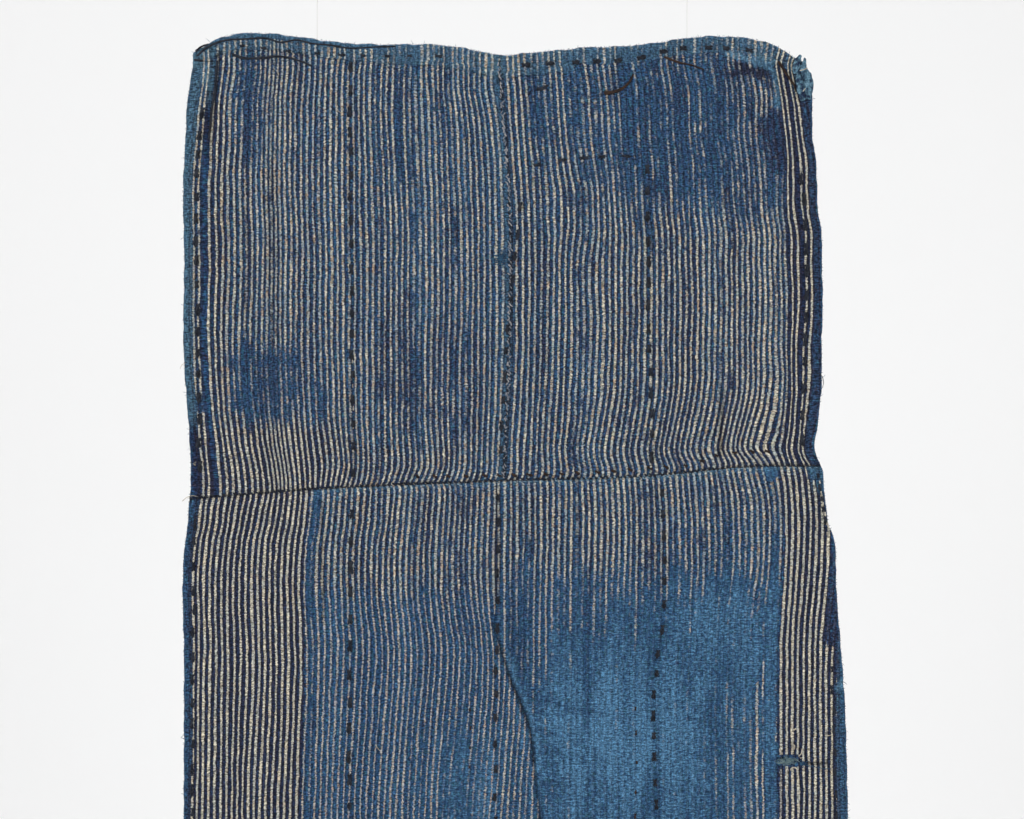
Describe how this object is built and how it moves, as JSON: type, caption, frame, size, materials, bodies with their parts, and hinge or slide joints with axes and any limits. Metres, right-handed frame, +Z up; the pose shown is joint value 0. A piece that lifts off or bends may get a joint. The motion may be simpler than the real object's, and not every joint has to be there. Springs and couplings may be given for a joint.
{
  "type": "boro patched cloth with hanging threads",
  "caption": "Worn indigo striped cotton cloth, sewn from narrow panels and mended with running stitches, hanging flat from fine threads.",
  "frame": {"origin": "on the top edge, at the end of the seam between the two upper panels, in the plane the cloth hangs in", "axes": "+Z up along the warp stripes, +X to the viewer's right, -Y out of the cloth's face"},
  "size_m": [0.667, 0.0177, 1.1635],
  "materials": {
    "upper_left_cloth": "worn indigo cotton with cream stripes",
    "upper_right_cloth": "worn indigo cotton with sparse cream stripes",
    "lower_left_cloth": "indigo cotton with cream and faded stripes",
    "lower_right_cloth": "rubbed light indigo cotton with the stripes worn away",
    "hanging_thread": "fine pale thread"
  },
  "bodies": {
    "root": {"panel_upper_left": "upper_left_cloth", "panel_upper_right": "upper_right_cloth", "panel_lower_left": "lower_left_cloth", "panel_lower_right": "lower_right_cloth", "hang_thread_left": "hanging_thread", "hang_thread_right": "hanging_thread"}
  },
  "joints": []
}
